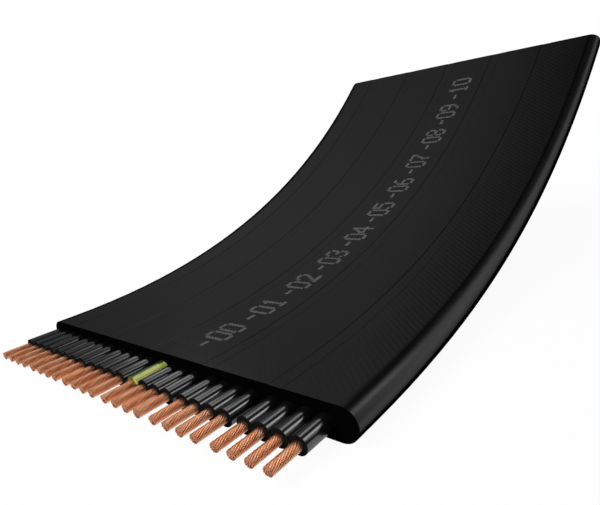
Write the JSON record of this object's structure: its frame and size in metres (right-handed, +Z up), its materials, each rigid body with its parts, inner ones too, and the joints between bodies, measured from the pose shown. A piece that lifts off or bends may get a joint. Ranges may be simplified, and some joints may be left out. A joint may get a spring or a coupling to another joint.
{
  "type": "flat elevator travelling cable",
  "caption": "Bent length of flat lift cable with one end stripped: a row of stranded copper cores in groups under a common black sheath, one core striped as earth.",
  "frame": {"origin": "middle of the far cut end, where a hanger grips the cable: the middle of the core row, half way through the sheath", "axes": "+X across the cable, +Y along the stripped cores from their tips into the sheath, +Z up, towards the face inside the bend"},
  "size_m": [0.0633, 0.1215, 0.0426],
  "materials": {
    "sheath_pvc": "satin extruded PVC",
    "core_insulation": "glossy PVC",
    "earth_insulation": "glossy PVC, green and yellow stripes",
    "copper": "bare bright copper strands"
  },
  "bodies": {
    "root": {"sheath": "sheath_pvc", "core_01_insulation": "core_insulation", "core_02_insulation": "core_insulation", "core_03_insulation": "core_insulation", "core_04_insulation": "core_insulation", "core_05_insulation": "core_insulation", "core_06_insulation": "core_insulation", "core_07_insulation": "core_insulation", "core_08_insulation": "core_insulation", "core_09_insulation": "core_insulation", "core_10_insulation": "core_insulation", "core_11_insulation": "core_insulation", "core_12_insulation": "core_insulation", "earth_core_insulation": "earth_insulation", "core_14_insulation": "core_insulation", "core_15_insulation": "core_insulation", "core_16_insulation": "core_insulation", "core_17_insulation": "core_insulation", "core_18_insulation": "core_insulation", "core_19_insulation": "core_insulation", "core_20_insulation": "core_insulation", "core_21_insulation": "core_insulation", "core_22_insulation": "core_insulation", "core_23_insulation": "core_insulation", "core_24_insulation": "core_insulation", "core_01_conductor": "copper", "core_02_conductor": "copper", "core_03_conductor": "copper", "core_04_conductor": "copper", "core_05_conductor": "copper", "core_06_conductor": "copper", "core_07_conductor": "copper", "core_08_conductor": "copper", "core_09_conductor": "copper", "core_10_conductor": "copper", "core_11_conductor": "copper", "core_12_conductor": "copper", "earth_core_conductor": "copper", "core_14_conductor": "copper", "core_15_conductor": "copper", "core_16_conductor": "copper", "core_17_conductor": "copper", "core_18_conductor": "copper", "core_19_conductor": "copper", "core_20_conductor": "copper", "core_21_conductor": "copper", "core_22_conductor": "copper", "core_23_conductor": "copper", "core_24_conductor": "copper"}
  },
  "joints": []
}
